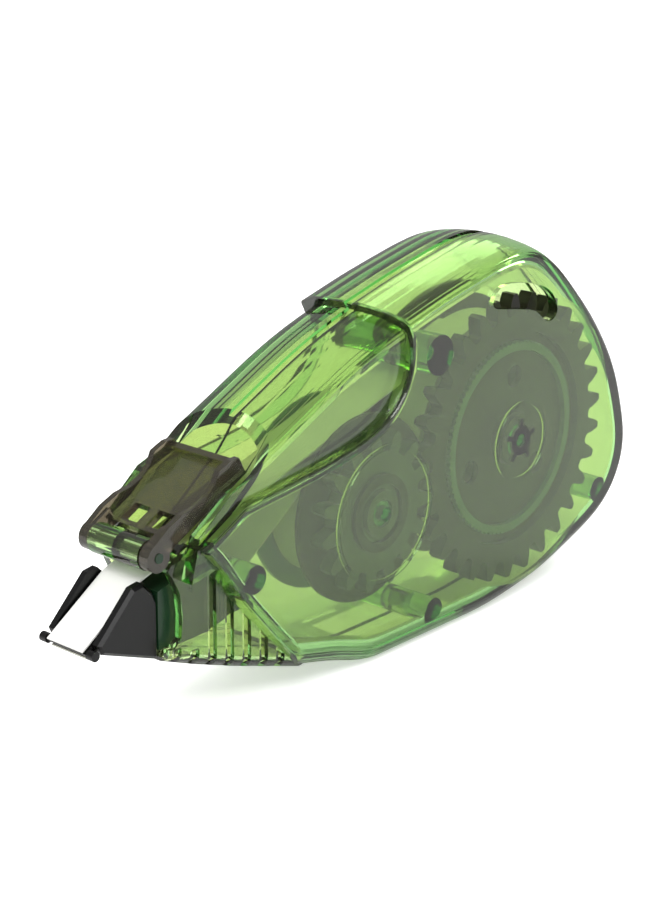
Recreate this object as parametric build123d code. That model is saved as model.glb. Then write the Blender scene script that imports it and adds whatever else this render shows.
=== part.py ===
from build123d import *
from math import acos, atan2, cos, degrees, hypot, pi, radians, sin, sqrt, tan
import os

# Correction tape roller: a clear two-piece case round a slip-clutch gear train, with a
# blade head at the nose and a flip cap that folds back on to the case.
# Frame: +X to the rear, nose at -X, +Z up, the left case half on the -Y side.
# The origin is the middle of the flat patch that the roller rests on.

# ---- driving dimensions, mm -----------------------------------------------------------
case_half_width = 7.5
case_wall = 1.2
grip_inset = 0.95            # the grip is this much narrower on each side
grip_drop = 0.9              # and this much lower along the top
belly_wall = 1.0             # the case is thinner under the gear
gear_gap = 0.3               # running gap round and beside everything that turns

tape_width = 5.0
tape_thickness = 0.15
tape_side_gap = 0.35         # between the tape's edge and a take-up flange

gear_module = 1.04
gear_teeth = 30
pinion_teeth = 15
addendum_ratio = 0.9
dedendum_ratio = 1.15
pressure_angle = 20.0
tooth_backlash = 0.16
gear_side_room = 1.0         # between the case wall and the gears' near faces
hub_stand = 0.6              # how far the gears' hubs stand out of those faces
gear_phase = 5.0             # degrees from +X to a tooth's centre
web_thickness = 0.7

shaft_gap = 0.05             # radial clearance of everything that turns on a post
supply_post_radius = 1.95
take_up_post_radius = 1.45
hub_wall = 1.0

take_up_flange_radius = 10.26
flange_thickness = 0.5
take_up_core_radius = 7.0
take_up_roll_radius = 8.1
supply_flange_radius = 15.2
supply_flange_thickness = 0.7
supply_core_radius = 9.0
supply_roll_radius = 13.6
core_wall = 1.0
bush_gap = 0.7               # between the take-up hub and the bush round it
bush_width = 1.07
bush_height = 0.5

ratchet_ring_radius = 11.2
ratchet_ring_width = 1.1
ratchet_ring_height = 0.6
ratchet_ring_room = 1.0      # between the ring and the gear's rim
ratchet_teeth = 90
clutch_gap = 0.5             # between the spring's bows and the inside of the core
clutch_half_width = 1.5
bow_start = 0.8              # where the bows' circles begin, from the axis
bow_thickness = 0.6

barrel_radius = 1.55
barrel_half_length = 3.5
hinge_pin_radius = 0.5
cap_half_width = 4.85
cap_length = 13.0
cap_plate = 0.8
cap_wall = 0.7
cap_wall_height = 2.1
cap_open_angle = 27.5        # the folded-back cap's slope from +X

cheek_half_width = 3.75
cheek_thickness = 1.0
cheek_chamfer = 0.3
blade_half_width = 2.6
blade_thickness = 0.7

seam_half_width = 0.65
seam_depth = 0.35
snap_boss_radius = 2.2
small_boss_radius = 1.5
snap_pin_radius = 0.8

# ---- places that follow from them -----------------------------------------------------
gear_pitch_radius = gear_module * gear_teeth / 2
pinion_pitch_radius = gear_module * pinion_teeth / 2
gear_tip_radius = gear_pitch_radius + addendum_ratio * gear_module
pinion_tip_radius = pinion_pitch_radius + addendum_ratio * gear_module
centre_distance = gear_pitch_radius + pinion_pitch_radius
gear_pocket_radius = gear_tip_radius + gear_gap + belly_wall
belly_rise = 1.06            # how far the belly has risen below the gear's axis

supply_axis = (14.0, gear_pocket_radius + belly_rise)
train_angle = radians(186.4)  # from the gear's axis to the pinion's
take_up_axis = (
    supply_axis[0] + centre_distance * cos(train_angle),
    supply_axis[1] + centre_distance * sin(train_angle),
)
nose_origin = (take_up_axis[0] - 30.45, take_up_axis[1] + 3.2)
hinge = nose_origin

inner_half_width = case_half_width - case_wall
take_up_flange_in = tape_width / 2 + tape_side_gap
take_up_flange_out = take_up_flange_in + flange_thickness
gear_far = -(take_up_flange_out + gear_gap)
gear_near = -(inner_half_width - gear_side_room)
supply_hub_radius = supply_post_radius + shaft_gap + hub_wall
take_up_hub_radius = take_up_post_radius + shaft_gap + hub_wall
supply_flange_near = take_up_flange_out + gear_gap
supply_flange_far = supply_flange_near + supply_flange_thickness


# ---- outlines in the XZ plane ---------------------------------------------------------
def nose(x, z):
    """A point given from the cap's hinge."""
    return (nose_origin[0] + x, nose_origin[1] + z)


def off_gear(angle, extra):
    """A point outside the gear's pocket, at an angle round the gear's axis."""
    r = gear_pocket_radius + extra
    return (supply_axis[0] + r * cos(radians(angle)), supply_axis[1] + r * sin(radians(angle)))


# Each stretch is (kind, edge, top, points): edge is the share of the rounding that it gets,
# and top runs from 0 on the underside to 1 on the crowned top, as one value for each point.
# The outline runs rearwards along the belly and back over the top.
def body_outline():
    """The full-width body: rear dome, belly and the two shoulders beside the cap."""
    patch_front, patch_rear = (-9.5, 0.0), (6.0, 0.0)
    step_top = off_gear(139.3, 10.7)
    shoulder = nose(9.6, 3.8)
    ridge_top = nose(3.1, 0.4)
    ridge_foot = nose(17.4, -16.4)
    rear = [off_gear(a, e) for a, e in (
        (270, 0.31), (284.5, 0.08), (301, 0.6), (314.7, 2.07), (324.2, 3.36), (334.5, 4.21),
        (347.4, 4.09), (0.8, 2.66), (15.9, 1.5), (31.4, 0.79), (45.7, 0.76), (60.3, 1.51),
        (74.9, 3.29), (87.5, 4.88), (98.7, 5.23), (110, 5.57), (125.9, 7.4))]
    step = [nose(33.4, 13.2), nose(32.5, 10.2), nose(29.9, 7.7), nose(25.6, 6.1),
            nose(19.6, 5.0), nose(13.8, 4.3)]
    ridge = [nose(5.5, -2.3), nose(8.0, -5.8), nose(10.9, -9.3), nose(13.5, -12.3)]
    rear = [patch_rear, *rear, step_top]
    return [
        ("line", 1.0, [0, 0], [patch_front, patch_rear]),
        ("leaves belly", 1.0, [min(1.0, k / 9) for k in range(len(rear))], rear),
        ("spline", 0.3, [1] * 8, [step_top, *step, shoulder]),
        ("line", 0.3, [1, 1], [shoulder, ridge_top]),
        ("spline", 0.3, [1] * 6, [ridge_top, *ridge, ridge_foot]),
        ("meets belly", 1.0, [0, 0, 0], [ridge_foot, nose(24.0, -18.1), patch_front]),
    ]


def grip_outline():
    """The narrower, lower grip between the dome and the nose."""
    back_top, back_foot = nose(39.7, 19.0), nose(35.0, 3.0)
    top_end, front_foot = nose(5.0, 6.0), nose(2.6, -3.0)
    top = [nose(32.1, 18.0 - grip_drop), nose(25.0, 14.6), nose(19.4, 12.0),
           nose(15.5, 10.1)]
    return [
        ("spline", 1.0, [1] * 6, [back_top, *top, top_end]),
        ("line", 0.0, [1, 1], [top_end, front_foot]),
        ("line", 0.0, [1, 1], [front_foot, back_foot]),
        ("line", 0.0, [1, 1], [back_foot, back_top]),
    ]


def left_normal(p, q):
    length = hypot(q[0] - p[0], q[1] - p[1])
    return (-(q[1] - p[1]) / length, (q[0] - p[0]) / length)


def moved(p, n1, d1, n2, d2):
    """The point whose distances from two lines through p, along their normals, are d1, d2."""
    det = n1[0] * n2[1] - n1[1] * n2[0]
    if abs(det) < 0.25:
        return (p[0] + (n1[0] * d1 + n2[0] * d2) / 2, p[1] + (n1[1] * d1 + n2[1] * d2) / 2)
    return (p[0] + (d1 * n2[1] - d2 * n1[1]) / det, p[1] + (n1[0] * d2 - n2[0] * d1) / det)


def inset_stretches(outline, inset):
    """The outline moved inwards; inset(edge, top) gives the distance at each point."""
    result = []
    for i, (kind, edge, top, pts) in enumerate(outline):
        before, after = outline[i - 1], outline[(i + 1) % len(outline)]
        new = []
        for k, p in enumerate(pts):
            n0 = left_normal(pts[k - 1], p) if k else left_normal(*before[3][-2:])
            n1 = left_normal(p, pts[k + 1]) if k + 1 < len(pts) else left_normal(*after[3][:2])
            d0 = inset(edge, top[k]) if k else inset(before[1], before[2][-1])
            d1 = inset(edge, top[k]) if k + 1 < len(pts) else inset(after[1], after[2][0])
            new.append(moved(p, n0, d0, n1, d1))
        result.append((kind, new))
    return result


def outline_wire(outline, inset, y):
    """An inset outline, in the plane at this y."""
    edges = []
    for kind, pts in inset_stretches(outline, inset):
        vs = [Vector(x, y, z) for x, z in pts]
        if kind == "line":
            edges.append(Edge.make_line(*vs))
            continue
        if kind == "spline":
            edges.append(Edge.make_spline(vs))
            continue
        start = Vector(1, 0, 0) if kind == "leaves belly" else vs[1] - vs[0]
        end = Vector(1, 0, 0) if kind == "meets belly" else vs[-1] - vs[-2]
        edges.append(Edge.make_spline(vs, tangents=[start.normalized(), end.normalized()]))
    return Wire(edges)


# How far the skin has come in at each share of the half width: over the crowned top, and
# round the lower corner.
crown_steps = (
    (0.0, 0.0, 0.0), (0.2, 0.045, 0.0), (0.38, 0.155, 0.0), (0.54, 0.32, 0.0),
    (0.68, 0.5, 0.02), (0.78, 0.675, 0.17), (0.86, 0.855, 0.42), (0.92, 1.04, 0.76),
    (0.96, 1.23, 1.14), (0.985, 1.46, 1.52), (1.0, 1.75, 1.95))


def pillow_half(outline, half_width, inward):
    """The +Y half of a crowned body, moved inwards by this much."""
    wires = []
    for share, crown, corner in crown_steps:
        def inset(edge, top):
            return inward + edge * (top * crown + (1 - top) * corner)
        wires.append(outline_wire(outline, inset, share * half_width))
    return Solid.make_loft(wires, ruled=True)


def prism(points, y0, y1):
    """A closed polygon in XZ, from y0 to y1."""
    face = Face(Wire.make_polygon([Vector(x, y0, z) for x, z in points]))
    return Solid.extrude(face, Vector(0, y1 - y0, 0))


def rod(centre, radius, y0, y1):
    """A round bar along Y."""
    plane = Plane((centre[0], y0, centre[1]), x_dir=(1, 0, 0), z_dir=(0, 1, 0))
    return Solid.make_cylinder(radius, y1 - y0, plane)


def tube(centre, outer, inner, y0, y1):
    return rod(centre, outer, y0, y1) - rod(centre, inner, y0 - 1, y1 + 1)


def block(x0, x1, y0, y1, z0, z1):
    return Solid.make_box(x1 - x0, y1 - y0, z1 - z0, Plane((x0, y0, z0)))


# ---- the case -------------------------------------------------------------------------
chin_wall = 1.05
pocket_wall = 0.6            # the roof under the folded cap, over the tape
chin_round = 1.6
chin_front = cheek_half_width + 0.15 + chin_wall
chin_rear = case_half_width - 1.0
# x and the underside's z from the hinge, the share of the way from the front half width to
# the rear one, and the top's z.
chin_stations = (
    (1.1, -11.2, 0.0, -0.7), (5.0, -12.7, 0.226, 0.6), (10.5, -14.6, 0.516, 1.0),
    (14.5, -15.8, 0.774, 0.5), (18.5, -17.0, 1.0, 0.0))
groove_pitch = 2.2
groove_width = 0.9
groove_depth = 0.42
pocket_half_width = cap_half_width + gear_gap
snap_bosses = {
    "upper": (nose(38.9, 12.3), snap_boss_radius),
    "guide": (nose(10.9, -4.8), small_boss_radius),
    "belly": (nose(38.7, -16.6), small_boss_radius),
    "rear": (off_gear(328.1, 0.53), small_boss_radius),
}


def chin_half(inward, drop_front):
    """The +Y half of the narrow, tapering chin; a cavity runs on out of its mouth."""
    wires = []
    for x, z_bottom, share, z_top in chin_stations:
        if x == chin_stations[0][0]:
            x -= drop_front
        y = chin_front + share * (chin_rear - chin_front) - inward
        r = max(chin_round - inward, 0.4)
        px, low, high = nose(x, 0)[0], nose(0, z_bottom)[1] + inward, nose(0, z_top)[1] - inward
        a, b = Vector(px, 0, low), Vector(px, y - r, low)
        mid = Vector(px, y - r + r * sin(pi / 4), low + r - r * cos(pi / 4))
        c, d, e = Vector(px, y, low + r), Vector(px, y, high), Vector(px, 0, high)
        wires.append(Wire([
            Edge.make_line(a, b), Edge.make_three_point_arc(b, mid, c), Edge.make_line(c, d),
            Edge.make_line(d, e), Edge.make_line(e, a)]))
    return Solid.make_loft(wires, ruled=True)


def chin_grooves():
    """Upright flutes down the chin's side and under its corner."""
    cuts = []
    for k in range(7):
        x = nose(1.6 + groove_pitch * k, 0)[0]
        t = (x - nose(1.1, 0)[0]) / 17.4
        half = chin_front + (chin_rear - chin_front) * t
        low = nose(0, -11.2)[1] - 5.8 * t
        if k > 1:
            cuts.append(block(x, x + groove_width, half - groove_depth, half + 3,
                              low + 0.9, nose(0, 3)[1]))
        corner = block(x, x + groove_width, half - 1.4, half + 3, low - 3, low + 1.5)
        cuts.append(corner - block(x - 1, x + 2, half - 3, half - groove_depth,
                                   low + groove_depth, low + 4))
    return cuts


def above(curve):
    """Everything above a curve that runs forwards along the grip."""
    (x0, _), (x1, z1) = curve[0], curve[-1]
    return prism([*curve, (x1 - 8, z1), (x1 - 8, 60), (x0, 60)], 0, 12)


def grip_cuts(inward):
    """What is scooped out for the folded cap, across the grip and between its rails."""
    dx, dz = inward * 0.66, -inward * 0.8
    rails = [(15.5, 10.1), (13.2, 7.5), (11.2, 5.8), (8.0, 4.7), (2.9, 0.6), (1.5, -0.4)]
    floor = [(15.5, 10.1), (13.7, 7.8), (11.5, 5.4), (8.2, 2.8), (2.1, -1.1)]
    rail_cut = above([nose(x + dx, z + dz) for x, z in rails])
    floor_cut = above([nose(x + dx, z + dz) for x, z in floor])
    return rail_cut, floor_cut & block(-80, 60, 0, pocket_half_width + inward, -5, 80)


def nozzle_mouth():
    rim = [(-8, -0.9), (0.2, -0.9), (1.4, -2.1), (2.4, -4.1), (2.7, -6.5), (2.5, -8.9),
           (1.7, -9.7), (-8, -9.7)]
    return prism([nose(x, z) for x, z in rim], 0, 12)


def plain_half_case():
    """The +Y half of the case as a bare shell."""
    body = pillow_half(body_outline(), case_half_width, 0.0)
    grip = pillow_half(grip_outline(), case_half_width - grip_inset, 0.0)
    chin = chin_half(0.0, 0.0)
    for groove in chin_grooves():
        chin -= groove
    outer = body + grip + chin
    for cut in grip_cuts(0.0):
        outer -= cut
    cavity = pillow_half(body_outline(), inner_half_width, case_wall)
    cavity = cavity + pillow_half(grip_outline(), inner_half_width - grip_inset, case_wall)
    for cut in grip_cuts(pocket_wall):
        cavity -= cut
    shell = outer - cavity - chin_half(chin_wall, 3.0) - nozzle_mouth()
    gear_room = rod(supply_axis, gear_tip_radius + gear_gap, 0, inner_half_width)
    shell -= gear_room
    roof = block(*(nose(x, 0)[0] for x in (0.0, 3.2)), 0, barrel_half_length,
                 nose(0, -1.5)[1], nose(0, 0)[1])
    shell += rod(hinge, barrel_radius, 0, barrel_half_length) + roof
    shell -= rod(hinge, barrel_radius + gear_gap, barrel_half_length, case_half_width)
    shell -= rod(hinge, hinge_pin_radius + shaft_gap, -1, case_half_width)
    return shell


def seam_channel():
    """The shallow channel along the top, where the halves meet."""
    def along(outline):
        wire = outline_wire(outline, lambda edge, top: seam_depth, 0)
        return Solid.extrude(Face(wire), Vector(0, seam_half_width, 0))
    band = block(-60, 60, 0, seam_half_width, nose(0, 9.0)[1], 80)
    return band - along(body_outline()) - along(grip_outline())


def gear_window():
    """The slot in the left wall where the gear's teeth show."""
    edge = [(111, 0.6), (107, 1.4), (97, 0.9), (85.6, 0.0), (72.8, -1.7), (70.0, -3.2),
            (74.0, -4.1), (84, -3.2), (94.4, -2.34), (106.6, -1.04)]
    pts = [off_gear(a, e) for a, e in edge]
    y = -case_half_width - 1
    wire = Wire(Edge.make_spline([Vector(x, y, z) for x, z in pts], periodic=True))
    return Solid.extrude(Face(wire), Vector(0, case_wall + 2, 0))


def make_left_case(plain):
    case = plain.mirror(Plane.XZ) - gear_window()
    wall = -inner_half_width
    case += tube(take_up_axis, 7.62, 7.1, wall - 0.2, wall + 0.2)
    case += tube(supply_axis, 4.6, 4.2, wall - 0.2, wall + 0.2)
    for centre, radius in snap_bosses.values():
        case += rod(centre, radius, wall - 0.4, 0)
        case -= rod(centre, snap_pin_radius + shaft_gap, -3.0, 1)
    for axis in (supply_axis, take_up_axis):
        case += rod(axis, locating_pin_radius, wall - 0.2, wall + locating_pin_length)
    return case


def make_right_case(plain):
    case = plain
    wall = inner_half_width
    for centre, radius in snap_bosses.values():
        case += rod(centre, radius, 0, wall + 0.4)
        case += rod(centre, snap_pin_radius, -2.8, 0)
    for axis, radius, foot in ((supply_axis, supply_post_radius, supply_foot),
                               (take_up_axis, take_up_post_radius, take_up_foot)):
        case += rod(axis, radius + hub_wall, foot, wall + 0.2)
        case += rod(axis, radius, post_near, foot)
        case -= rod(axis, locating_pin_radius + shaft_gap, post_near - 1,
                    -inner_half_width + locating_pin_length + 0.5)
    return case


locating_pin_radius = 0.8
locating_pin_length = 2.2
post_near = -inner_half_width + 0.75
supply_hub_end = supply_flange_far + 0.2
washer_thickness = 0.5
supply_foot = supply_hub_end + gear_gap + washer_thickness
take_up_hub_end = take_up_flange_out + 0.4
take_up_foot = take_up_hub_end + gear_gap


# ---- the gear train -------------------------------------------------------------------
def involute(angle):
    return tan(angle) - angle


def gear_blank(centre, teeth, phase, y0, y1):
    """A spur gear's solid disc; phase is the angle of one tooth's centre, in degrees."""
    pitch = gear_module * teeth / 2
    base = pitch * cos(radians(pressure_angle))
    tip = pitch + addendum_ratio * gear_module
    root = pitch - dedendum_ratio * gear_module
    half = (pi * gear_module / 2 - tooth_backlash) / (2 * pitch)
    start = max(base, root)
    flank = []
    for k in range(4):
        r = start + (tip - start) * k / 3
        flank.append((r, half + involute(radians(pressure_angle)) - involute(acos(base / r))))
    flank.insert(0, (root, flank[0][1] + (0.02 if base > root else 0.0)))
    points = []
    for n in range(teeth):
        mid = radians(phase) + 2 * pi * n / teeth
        rising = [(r, mid - a) for r, a in flank]
        falling = [(r, mid + a) for r, a in reversed(flank)]
        points += [(centre[0] + r * cos(a), centre[1] + r * sin(a)) for r, a in rising + falling]
    return prism(points, y0, y1)


def polar(centre, radius, angle):
    return (centre[0] + radius * cos(radians(angle)), centre[1] + radius * sin(radians(angle)))


def make_supply_gear():
    gear = gear_blank(supply_axis, gear_teeth, gear_phase, gear_near, gear_far)
    rim_inside = ratchet_ring_radius + ratchet_ring_room
    gear -= rod(supply_axis, rim_inside, gear_near - 1, gear_far - web_thickness)
    gear += rod(supply_axis, supply_hub_radius, gear_near - hub_stand, supply_hub_end)
    gear -= rod(supply_axis, supply_post_radius + shaft_gap, gear_near - 2, supply_hub_end + 1)
    for k in range(3):
        gear -= rod(polar(supply_axis, 7.0, 82 + 120 * k), 1.3, gear_near, 0)
    return gear


def make_ratchet_ring():
    """The finely serrated ring that stands on the gear's web."""
    near = gear_far - web_thickness - ratchet_ring_height
    points = []
    for n in range(ratchet_teeth):
        a = 360.0 * n / ratchet_teeth
        points.append(polar(supply_axis, ratchet_ring_radius, a))
        points.append(polar(supply_axis, ratchet_ring_radius - 0.3, a + 180.0 / ratchet_teeth))
    ring = prism(points, near, near + ratchet_ring_height)
    return ring - rod(supply_axis, ratchet_ring_radius - ratchet_ring_width, near - 1, 0)


def make_clutch_spring():
    """Three bowed arms that rub on the inside of the supply core."""
    reach = supply_core_radius - core_wall - clutch_gap
    radius = (reach - bow_start) / 2
    spring = rod(supply_axis, supply_hub_radius + 0.9, -clutch_half_width, clutch_half_width)
    for k in range(3):
        bow = tube((0, 0), radius, radius - bow_thickness, -clutch_half_width,
                   clutch_half_width)
        bow = bow & block(-reach, reach, -2, 2, 0, reach)
        bow = bow.moved(Location((reach - radius, 0, 0)))
        bow = bow.rotate(Axis.Y, 120.0 * k).moved(Location((supply_axis[0], 0, supply_axis[1])))
        spring += bow
    return spring - rod(supply_axis, supply_hub_radius, -3, 3)


def make_supply_reel():
    """The core and its far flange, running on the gear's hub."""
    reel = rod(supply_axis, supply_flange_radius, supply_flange_near, supply_flange_far)
    reel += rod(supply_axis, supply_core_radius, gear_far + gear_gap, supply_flange_near)
    reel -= rod(supply_axis, supply_core_radius - core_wall, gear_far, supply_flange_near)
    reel -= rod(supply_axis, supply_hub_radius + shaft_gap, 0, supply_flange_far + 1)
    for k in range(6):
        reel -= rod(polar(supply_axis, 12.0, 60 * k), 1.6, 3, 6)
    return reel


def make_take_up_gear():
    turn = degrees(train_angle) - 180
    from_line = gear_phase + 180 - degrees(train_angle)
    gap = turn - from_line * gear_teeth / pinion_teeth
    phase = gap + 180.0 / pinion_teeth
    gear = gear_blank(take_up_axis, pinion_teeth, phase, gear_near, gear_far)
    gear += rod(take_up_axis, take_up_hub_radius, gear_near - hub_stand, take_up_hub_end)
    return gear - rod(take_up_axis, take_up_post_radius + shaft_gap, -8, take_up_hub_end + 1)


def make_take_up_reel():
    reel = rod(take_up_axis, take_up_flange_radius, take_up_flange_in, take_up_flange_out)
    reel += tube(take_up_axis, take_up_core_radius, take_up_core_radius - core_wall,
                 -take_up_flange_in, take_up_flange_in)
    reel -= rod(take_up_axis, take_up_hub_radius, -8, 8)
    for k in range(4):
        reel -= rod(polar(take_up_axis, 4.4, 45 + 90 * k), 1.1, 2, 6)
    return reel


# ---- the nose and the tape ------------------------------------------------------------
blade_top_rear = nose(-0.3, -3.05)
blade_tip = nose(-7.6, -7.95)
guide_post = snap_bosses["guide"][0]
web_gap = 0.12               # between a run of tape and what it lies on
roll_gap = 0.3               # between a run of tape and a turning roll


def crossing(a, b, ra, rb, side_a, side_b):
    """Where a tape leaves circle a and meets circle b. A side is +1 where the circle lies to
    the left of the tape's direction and -1 where it lies to the right."""
    dx, dz = b[0] - a[0], b[1] - a[1]
    shift = side_b * rb - side_a * ra
    angle = atan2(dz, dx) - atan2(shift, sqrt(dx * dx + dz * dz - shift * shift))
    n = (-sin(angle), cos(angle))
    leave = (a[0] - side_a * ra * n[0], a[1] - side_a * ra * n[1])
    meet = (b[0] - side_b * rb * n[0], b[1] - side_b * rb * n[1])
    return leave, meet


def strip(points, thickness, half_width, rounding=None):
    """A flat strip along a path in XZ; its thickness lies to the left of the path."""
    flat = [(x, z) for x, z in points]
    path = FilletPolyline(*flat, radius=rounding) if rounding else Polyline(*flat)
    outline = Wire(path.edges()).offset_2d(thickness, side=Side.LEFT, closed=True)
    solid = Solid.extrude(Face(outline), Vector(0, 0, 2 * half_width))
    return solid.rotate(Axis.X, 90).moved(Location((0, half_width, 0)))


def make_supply_run():
    """New tape, from the tip up the blade and on to the supply roll."""
    lift = web_gap + tape_thickness
    bend = (blade_top_rear[0], blade_top_rear[1] + web_gap)
    tip = (blade_tip[0] - web_gap, blade_tip[1] + 0.1)
    _, end = crossing(bend, supply_axis, 0.0, supply_roll_radius + roll_gap, 1, -1)
    return strip([tip, bend, end], tape_thickness, tape_width / 2, 2.0)


def make_return_run():
    """Used tape, from under the blade round the guide post and over the take-up roll."""
    start = (blade_tip[0] + 0.35, blade_tip[1] - 0.55)
    post = small_boss_radius + web_gap
    _, down = crossing(start, guide_post, 0.0, post, 1, 1)
    up, end = crossing(guide_post, take_up_axis, post, take_up_roll_radius + roll_gap, 1, -1)
    n0 = (down[0] - start[0], down[1] - start[1])
    n1 = (end[0] - up[0], end[1] - up[1])
    det = n0[0] * n1[1] - n0[1] * n1[0]
    t = ((up[0] - start[0]) * n1[1] - (up[1] - start[1]) * n1[0]) / det
    corner = (start[0] + n0[0] * t, start[1] + n0[1] * t)
    return strip([end, corner, start], tape_thickness, tape_width / 2, post)


def make_tip_head():
    """Two wedge cheeks joined behind the blade."""
    cheek = [nose(x, z) for x, z in (
        (-6.3, -8.2), (-6.75, -7.2), (-2.3, -2.75), (-1.0, -2.55), (0.2, -3.7), (0.75, -5.0),
        (0.75, -10.3), (0.4, -10.75))]
    inner = cheek_half_width - cheek_thickness
    head = prism(cheek, inner, cheek_half_width)
    head = head.chamfer(cheek_chamfer, None, head.faces().sort_by(Axis.Y)[-1].edges())
    head += head.mirror(Plane.XZ)
    web = [nose(x, z) for x, z in ((-1.4, -4.55), (0.75, -4.35), (0.75, -6.2), (-1.4, -6.2))]
    return head + prism(web, -inner, inner)


def make_blade():
    """The thin blade whose tip presses the tape down, with a small flange at each end."""
    inner = cheek_half_width - cheek_thickness
    (tx, tz), (bx, bz) = blade_tip, blade_top_rear
    dx, dz = bx - tx, bz - tz
    size = hypot(dx, dz)
    across = (dz / size, -dx / size)
    side = [(tx, tz), (bx, bz), (bx + 0.35, bz), (bx + 0.35, nose(0, -4.3)[1]),
            nose(-1.4, -4.4), (tx + dx * 0.3 + across[0] * blade_thickness,
                                tz + dz * 0.3 + across[1] * blade_thickness),
            (tx + 0.3, tz - 0.25)]
    blade = prism(side, -blade_half_width, blade_half_width)
    bar = (tx + 0.39, tz - 0.08)
    blade += rod(bar, 0.28, -cheek_half_width, cheek_half_width)
    flange_width = cheek_half_width - blade_half_width - 0.25
    for y in (-cheek_half_width, cheek_half_width - flange_width):
        blade += rod(bar, 0.5, y, y + flange_width)
    return blade


def make_head_mount():
    """The carrier of the head inside the nozzle: a block between the two runs of tape, and
    a plate on each side of the tape with a notch for the guide post."""
    side = [nose(x, z) for x, z in (
        (0.75, -6.2), (7.6, -5.9), (8.3, -3.4), (6.2, -2.7), (0.75, -4.35))]
    mount = prism(side, -3.0, 3.0)
    plate = [nose(x, z) for x, z in (
        (0.75, -9.9), (4.5, -9.8), (7.2, -9.7), (10.0, -8.9), (12.3, -8.6), (11.9, -7.1),
        (11.1, -3.9), (8.5, -1.9), (7.4, -2.3), (0.75, -3.9))]
    sides = prism(plate, tape_width / 2 + tape_side_gap, cheek_half_width)
    sides += sides.mirror(Plane.XZ)
    sides -= rod(guide_post, small_boss_radius + gear_gap, -case_half_width, case_half_width)
    return mount + sides - rod(head_pin_axis, head_pin_radius, -case_half_width,
                               case_half_width)


head_pin_radius = 0.7
head_pin_axis = nose(5.2, -4.4)
head_pin_half_length = chin_front - chin_wall + 0.25


def make_head_pin():
    return rod(head_pin_axis, head_pin_radius, -head_pin_half_length, head_pin_half_length)


# ---- the flip cap, drawn closed along +X from the hinge, then folded back -------------
def make_flip_cap():
    top = [(2.4, 1.75), (4.4, 1.6), (6.2, 1.05), (7.7, 0.9), (9.2, 1.3), (10.3, cap_wall_height),
           (12.0, 1.95), (cap_length, 1.5)]
    low = -cap_plate / 2
    arm_outer = barrel_radius - 0.1
    inner = cap_half_width - cap_wall
    wall = prism([(0, low - 0.3), (2.4, low), (cap_length, low), *reversed(top), (0, 1.4)],
                 inner, cap_half_width)
    eye = rod((0, 0), arm_outer, barrel_half_length + 0.15, cap_half_width)
    arm = prism([(0, low - 0.3), (2.6, low), (2.6, 1.5), (0, 1.4)],
                barrel_half_length + 0.15, inner)
    side = wall + eye + arm
    plate = block(2.2, cap_length, -inner, inner, low, cap_plate / 2)
    end = block(cap_length - cap_wall, cap_length, -inner, inner, cap_plate / 2, 1.1)
    cap = side + side.mirror(Plane.XZ) + plate + end
    for y in (-2.8, 0.6):
        cap -= block(2.8, 5.0, y, y + 2.2, -3, 3)
    cap -= rod((0, 0), hinge_pin_radius, -8, 8)
    return fold_back(cap)


def fold_back(shape):
    return shape.moved(Location((hinge[0], 0, hinge[1]), (0, -cap_open_angle, 0)))


def make_hinge_pin():
    return rod(hinge, hinge_pin_radius, -cap_half_width - 0.1, cap_half_width + 0.1)


def make_axle_clip():
    """A star washer at the near end of the supply post."""
    near = -inner_half_width
    thickness = gear_side_room - hub_stand - shaft_gap
    clip = rod(supply_axis, 1.7, near, near + thickness)
    for k in range(5):
        arm = block(0, 2.6, -0.3, 0.3, 0, thickness).rotate(Axis.Z, 90 + 72.0 * k)
        arm = arm.rotate(Axis.X, 90).moved(Location((supply_axis[0], near + thickness,
                                                     supply_axis[1])))
        clip += arm
    return clip - rod(supply_axis, locating_pin_radius, near - 1, near + 1)


# ---- every piece ----------------------------------------------------------------------
def build_all():
    plain = plain_half_case()
    channel = seam_channel()
    plain -= channel
    hub_end = supply_hub_end + gear_gap
    return {
        "left_case": make_left_case(plain),
        "right_case": make_right_case(plain),
        "flip_cap": make_flip_cap(),
        "cap_hinge_pin": make_hinge_pin(),
        "tip_head": make_tip_head(),
        "applicator_blade": make_blade(),
        "head_mount": make_head_mount(),
        "head_pin": make_head_pin(),
        "supply_gear": make_supply_gear(),
        "ratchet_ring": make_ratchet_ring(),
        "clutch_spring": make_clutch_spring(),
        "supply_reel": make_supply_reel(),
        "supply_tape_roll": tube(supply_axis, supply_roll_radius, supply_core_radius,
                                 -tape_width / 2, tape_width / 2),
        "supply_washer": tube(supply_axis, supply_hub_radius + 0.8, supply_post_radius,
                              hub_end, hub_end + washer_thickness),
        "axle_clip": make_axle_clip(),
        "take_up_gear": make_take_up_gear(),
        "take_up_bush": tube(take_up_axis, take_up_hub_radius + bush_gap + bush_width,
                             take_up_hub_radius + bush_gap, gear_near - bush_height,
                             gear_near),
        "take_up_near_flange": tube(take_up_axis, take_up_flange_radius, take_up_hub_radius,
                                    -take_up_flange_out, -take_up_flange_in),
        "take_up_reel": make_take_up_reel(),
        "take_up_tape_roll": tube(take_up_axis, take_up_roll_radius, take_up_core_radius,
                                  -tape_width / 2, tape_width / 2),
        "supply_tape_run": make_supply_run(),
        "return_tape_run": make_return_run(),
    }


os.makedirs("parts", exist_ok=True)
for name, shape in build_all().items():
    shape.label = name
    export_step(shape, f"parts/{name}.step")
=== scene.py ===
from math import cos, radians, sin

import bmesh
import bpy
from bpy.props import FloatProperty, FloatVectorProperty, PointerProperty
from mathutils import Matrix, Vector

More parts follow.
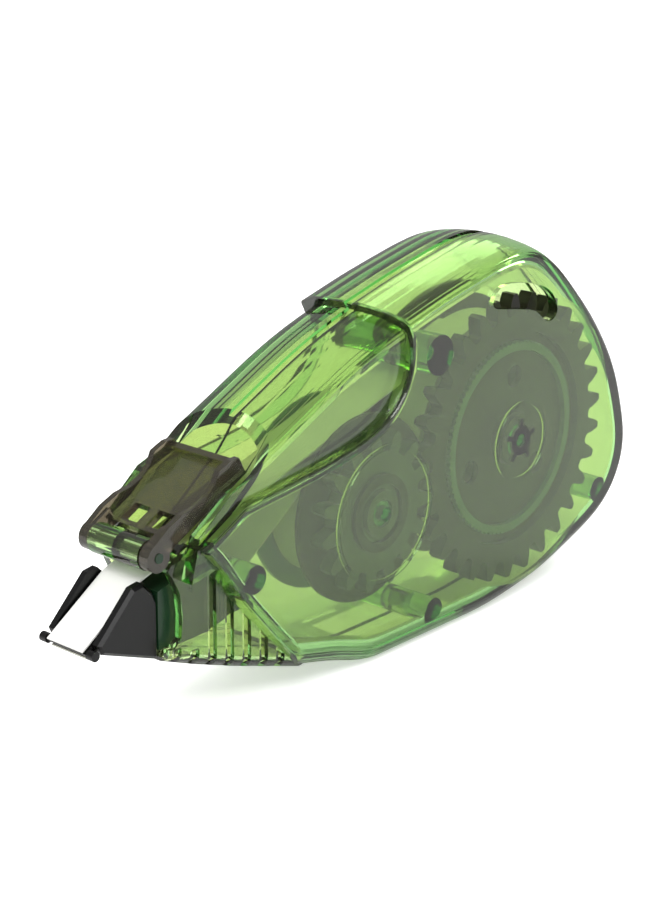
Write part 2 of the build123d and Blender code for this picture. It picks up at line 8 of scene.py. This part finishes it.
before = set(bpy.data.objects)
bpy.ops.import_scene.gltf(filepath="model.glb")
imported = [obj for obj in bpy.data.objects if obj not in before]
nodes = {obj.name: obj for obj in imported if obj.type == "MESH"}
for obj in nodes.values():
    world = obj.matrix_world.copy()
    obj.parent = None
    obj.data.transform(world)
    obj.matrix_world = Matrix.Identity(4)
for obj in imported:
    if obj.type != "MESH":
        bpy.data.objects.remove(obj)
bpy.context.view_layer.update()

bl_info = {
    "name": "Correction tape roller",
    "version": (1, 0, 0),
    "blender": (4, 5, 0),
    "location": "View3D > Sidebar > Roller",
    "description": "Finishes for a clear geared tape roller with a flip-back cap",
    "category": "Object",
}

MM = 0.001                    # metres in a millimetre
MOTTLE_MM = 4                 # size of the soft clouding in a moulded piece's colour
RELIEF_MM = 0.05              # depth that the moulded grain stands for
CAMERA_AIM_MM = (-15.07, -4.25, 24.17)
CAMERA_TURN, CAMERA_RISE, CAMERA_ROLL = radians(-48.178), radians(18.11), radians(0.329)
CAMERA_DISTANCE_MM = 206.1
SENSOR_MM = 36.0
LAMP_AIM = (0, 0, 0.02)
# name, place and width in metres, power in watts; only the key is mirrored in the pieces
LAMPS = (
    ("key", (-0.25, -0.35, 0.55), 0.35, 3.6),
    ("fill", (-0.5, 0.25, 0.4), 0.4, 1.8),
    ("rim", (0.45, 0.3, 0.5), 0.3, 2.6),
)


# ---- colour and node helpers ----------------------------------------------------------
def linear(hex_colour):
    """A linear RGBA colour from an sRGB hex value."""
    channels = [int(hex_colour[i:i + 2], 16) / 255 for i in (1, 3, 5)]
    out = [c / 12.92 if c <= 0.04045 else ((c + 0.055) / 1.055) ** 2.4 for c in channels]
    return (*out, 1.0)


def add(tree, kind, settings=None, links=None, **inputs):
    """Adds one node, with its settings, its input values and its links."""
    node = tree.nodes.new(kind)
    for name, value in (settings or {}).items():
        setattr(node, name, value)
    for name, value in inputs.items():
        node.inputs[name.replace("_", " ")].default_value = value
    for name, socket in (links or {}).items():
        tree.links.new(socket, node.inputs[name])
    return node


def plastic(name, colour, roughness, grain_mm=0.12, bump=0.02, mottle=0.06, depth=None,
            **shader):
    """Injection-moulded plastic: a fine moulded grain and a slight mottle in its colour.
    depth is the colour and the density per mm that a clear plastic takes on where it is
    thick. colour is linear."""
    mat = bpy.data.materials.new(name)
    mat.use_nodes = True
    tree = mat.node_tree
    tree.nodes.clear()
    coord = add(tree, "ShaderNodeTexCoord")
    cloud = add(tree, "ShaderNodeTexNoise", None, {"Vector": coord.outputs["Object"]},
                Scale=1 / (MOTTLE_MM * MM), Detail=3.0)
    grain = add(tree, "ShaderNodeTexNoise", None, {"Vector": coord.outputs["Object"]},
                Scale=1 / (grain_mm * MM), Detail=2.0)
    dark = (*(c * (1 - mottle) for c in colour[:3]), 1.0)
    light = (*(min(1.0, c * (1 + mottle)) for c in colour[:3]), 1.0)
    tint = add(tree, "ShaderNodeMix", {"data_type": "RGBA"}, {"Factor": cloud.outputs["Fac"]})
    tint.inputs[6].default_value = dark     # the colour inputs A and B
    tint.inputs[7].default_value = light
    rough = add(tree, "ShaderNodeMapRange", None, {"Value": cloud.outputs["Fac"]})
    rough.inputs["To Min"].default_value = roughness * 0.85
    rough.inputs["To Max"].default_value = roughness * 1.15
    relief = add(tree, "ShaderNodeBump", None, {"Height": grain.outputs["Fac"]},
                 Strength=bump, Distance=RELIEF_MM * MM)
    bsdf = add(tree, "ShaderNodeBsdfPrincipled", None,
               {"Base Color": tint.outputs[2], "Roughness": rough.outputs["Result"],
                "Normal": relief.outputs["Normal"]}, **shader)
    out = add(tree, "ShaderNodeOutputMaterial", None, {"Surface": bsdf.outputs["BSDF"]})
    if depth:
        fog = add(tree, "ShaderNodeVolumeAbsorption", Color=linear(depth[0]),
                  Density=depth[1] / MM)
        tree.links.new(fog.outputs["Volume"], out.inputs["Volume"])
    return mat


def seen_or_through(tree, other, seen):
    """One strength for camera rays and for rays through clear pieces, another elsewhere."""
    path = add(tree, "ShaderNodeLightPath")
    either = add(tree, "ShaderNodeMath", {"operation": "MAXIMUM"})
    tree.links.new(path.outputs["Is Camera Ray"], either.inputs[0])
    tree.links.new(path.outputs["Is Transmission Ray"], either.inputs[1])
    level = add(tree, "ShaderNodeMapRange", None, {"Value": either.outputs[0]})
    level.inputs["To Min"].default_value = other
    level.inputs["To Max"].default_value = seen
    return level.outputs["Result"]


def dress(mat, *names):
    """Gives CAD nodes this finish."""
    for name in names:
        for slot in nodes[name].material_slots:
            slot.link = "OBJECT"
            slot.material = mat


# ---- operators ------------------------------------------------------------------------
class RollerSizes(bpy.types.PropertyGroup):
    case_colour: FloatVectorProperty(name="Case", description="Tint of the clear case",
                                     subtype="COLOR", size=3, min=0, max=1,
                                     default=linear("#E0DFAC")[:3])
    cap_colour: FloatVectorProperty(name="Cap", description="Tint of the smoky cap",
                                    subtype="COLOR", size=3, min=0, max=1,
                                    default=linear("#8C8470")[:3])
    lens: FloatProperty(name="Lens", description="Camera lens in millimetres",
                        default=80.98, unit="CAMERA")
    floor_size: FloatProperty(name="Floor size", description="Width of the floor",
                              default=6.0, unit="LENGTH")


class ROLLER_OT_case(bpy.types.Operator):
    """Clear green case halves."""
    bl_idname = "roller.case"
    bl_label = "Case halves"

    def execute(self, context):
        # Clear tinted polystyrene: polished and pale where it is thin, with a little haze,
        # and deep emerald along every edge, boss and rib where the light travels far in it.
        tint = context.scene.roller_sizes.case_colour
        case = plastic("clear_tinted_polystyrene", tint, 0.05, bump=0.003, mottle=0.02,
                       depth=("#6FD890", 0.36), Transmission_Weight=0.985, IOR=1.49)
        dress(case, "left_case", "right_case")
        return {"FINISHED"}


class ROLLER_OT_cap(bpy.types.Operator):
    """Smoky flip cap and its pin."""
    bl_idname = "roller.cap"
    bl_label = "Flip cap"

    def execute(self, context):
        # Smoked polystyrene: glossy, brown-grey, dark where its side walls are thick.
        tint = context.scene.roller_sizes.cap_colour
        smoke = plastic("smoked_polystyrene", tint, 0.12, bump=0.01, mottle=0.03,
                        depth=("#8C8070", 0.9), Transmission_Weight=0.9, IOR=1.45)
        dress(smoke, "flip_cap")
        # Dark green acetal: slick and nearly black inside the clear nozzle.
        pin = plastic("dark_green_acetal", linear("#16301D"), 0.25, Specular_IOR_Level=0.3)
        dress(pin, "cap_hinge_pin", "head_mount", "head_pin")
        return {"FINISHED"}


class ROLLER_OT_train(bpy.types.Operator):
    """Gears, reels, clutch and tape."""
    bl_idname = "roller.train"
    bl_label = "Gear train and tape"

    def execute(self, context):
        # Charcoal acetal: satin brown-black gears that read nearly black in the window.
        charcoal = plastic("charcoal_acetal", linear("#1B1512"), 0.42, Specular_IOR_Level=0.3)
        dress(charcoal, "supply_gear", "take_up_near_flange")
        # Moss acetal: a lighter pinion, so the black bush on its face shows as a ring.
        moss = plastic("moss_acetal", linear("#3D4A3E"), 0.35)
        dress(moss, "take_up_gear")
        # Black ABS: satin, with soft grey highlights along the cheeks.
        black = plastic("black_abs", linear("#050505"), 0.36, bump=0.03, Specular_IOR_Level=0.3)
        dress(black, "tip_head", "applicator_blade", "axle_clip", "take_up_bush")
        # Grey-green acetal: the paler serrated ring stands out on the dark gear.
        sage = plastic("grey_green_acetal", linear("#4F7560"), 0.3)
        dress(sage, "ratchet_ring", "take_up_reel")
        # Umber acetal: the reel's warm brown flange behind the gear.
        umber = plastic("umber_acetal", linear("#4A4034"), 0.4)
        dress(umber, "supply_reel")
        # Natural acetal: milky white, for the clutch spring and the washer.
        natural = plastic("natural_acetal", linear("#C9C9BC"), 0.4)
        dress(natural, "clutch_spring", "supply_washer")
        # Correction film: chalky matt white, the brightest surface of all.
        tape = plastic("chalky_white_film", linear("#DEDEDA"), 0.6, bump=0.05,
                       Specular_IOR_Level=0.2)
        dress(tape, "supply_tape_roll", "supply_tape_run")
        # Glassine liner: the greyer, slightly waxy paper left after use.
        liner = plastic("glassine_liner", linear("#B9B9AC"), 0.5)
        dress(liner, "take_up_tape_roll", "return_tape_run")
        return {"FINISHED"}


class ROLLER_OT_stage(bpy.types.Operator):
    """Floor, light and camera."""
    bl_idname = "roller.stage"
    bl_label = "Stage"

    def execute(self, context):
        scene = context.scene
        sizes = scene.roller_sizes
        scene.view_settings.view_transform = "Standard"
        bm = bmesh.new()
        bmesh.ops.create_grid(bm, x_segments=1, y_segments=1, size=sizes.floor_size / 2)
        mesh = bpy.data.meshes.new("floor")
        bm.to_mesh(mesh)
        bm.free()
        floor = bpy.data.objects.new("floor", mesh)
        scene.collection.objects.link(floor)
        mesh.materials.append(self.floor_material())
        self.world(scene)
        for lamp in LAMPS:
            self.lamp(scene, *lamp)
        self.camera(scene, sizes)
        return {"FINISHED"}

    @staticmethod
    def floor_material():
        """A pale floor that keeps the shadow and glows for camera and see-through rays."""
        mat = bpy.data.materials.new("pale_floor")
        mat.use_nodes = True
        tree = mat.node_tree
        tree.nodes.clear()
        bsdf = add(tree, "ShaderNodeBsdfDiffuse", Color=linear("#F9F9F9"))
        level = seen_or_through(tree, 0.05, 0.5)
        glow = add(tree, "ShaderNodeEmission", None, {"Strength": level}, Color=linear("#FFFFFF"))
        both = add(tree, "ShaderNodeAddShader")
        tree.links.new(bsdf.outputs[0], both.inputs[0])
        tree.links.new(glow.outputs[0], both.inputs[1])
        add(tree, "ShaderNodeOutputMaterial", None, {"Surface": both.outputs[0]})
        return mat

    @staticmethod
    def world(scene):
        world = bpy.data.worlds.new("studio")
        world.use_nodes = True
        tree = world.node_tree
        tree.nodes.clear()
        level = seen_or_through(tree, 0.5, 1.0)
        back = add(tree, "ShaderNodeBackground", None, {"Strength": level},
                   Color=(1, 1, 1, 1))
        add(tree, "ShaderNodeOutputWorld", None, {"Surface": back.outputs[0]})
        scene.world = world

    @staticmethod
    def lamp(scene, name, place, size, power):
        light = bpy.data.lights.new(name, "AREA")
        light.energy = power
        light.size = size
        obj = bpy.data.objects.new(name, light)
        obj.location = place
        aim = Vector(LAMP_AIM) - Vector(place)
        obj.rotation_euler = aim.to_track_quat("-Z", "Y").to_euler()
        obj.visible_glossy = name == "key"
        scene.collection.objects.link(obj)

    @staticmethod
    def camera(scene, sizes):
        turn, rise, roll = CAMERA_TURN, CAMERA_RISE, CAMERA_ROLL
        data = bpy.data.cameras.new("camera")
        data.lens = sizes.lens
        data.sensor_width = SENSOR_MM
        cam = bpy.data.objects.new("camera", data)
        aim = Vector(CAMERA_AIM_MM) * MM
        back = Vector((sin(turn) * cos(rise), -cos(turn) * cos(rise), sin(rise)))
        right = Vector((cos(turn), sin(turn), 0.0))
        up = back.cross(right)
        x = right * cos(roll) + up * sin(roll)
        y = -right * sin(roll) + up * cos(roll)
        cam.matrix_world = Matrix.Translation(aim + back * CAMERA_DISTANCE_MM * MM) @ Matrix(
            (x, y, back)).transposed().to_4x4()
        scene.collection.objects.link(cam)
        scene.camera = cam


class ROLLER_PT_panel(bpy.types.Panel):
    """Lists the roller's parts."""
    bl_label = "Roller"
    bl_idname = "ROLLER_PT_panel"
    bl_space_type = "VIEW_3D"
    bl_region_type = "UI"
    bl_category = "Roller"

    def draw(self, context):
        for prop in ("case_colour", "cap_colour", "lens", "floor_size"):
            self.layout.prop(context.scene.roller_sizes, prop)
        for operator in operators:
            self.layout.operator(operator.bl_idname)


operators = (ROLLER_OT_case, ROLLER_OT_cap, ROLLER_OT_train, ROLLER_OT_stage)
classes = (RollerSizes, *operators, ROLLER_PT_panel)


def register():
    for cls in classes:
        bpy.utils.register_class(cls)
    bpy.types.Scene.roller_sizes = PointerProperty(type=RollerSizes)


def unregister():
    del bpy.types.Scene.roller_sizes
    for cls in reversed(classes):
        bpy.utils.unregister_class(cls)


def main():
    register()
    bpy.ops.roller.case()
    bpy.ops.roller.cap()
    bpy.ops.roller.train()
    bpy.ops.roller.stage()


if __name__ == "__main__":
    main()
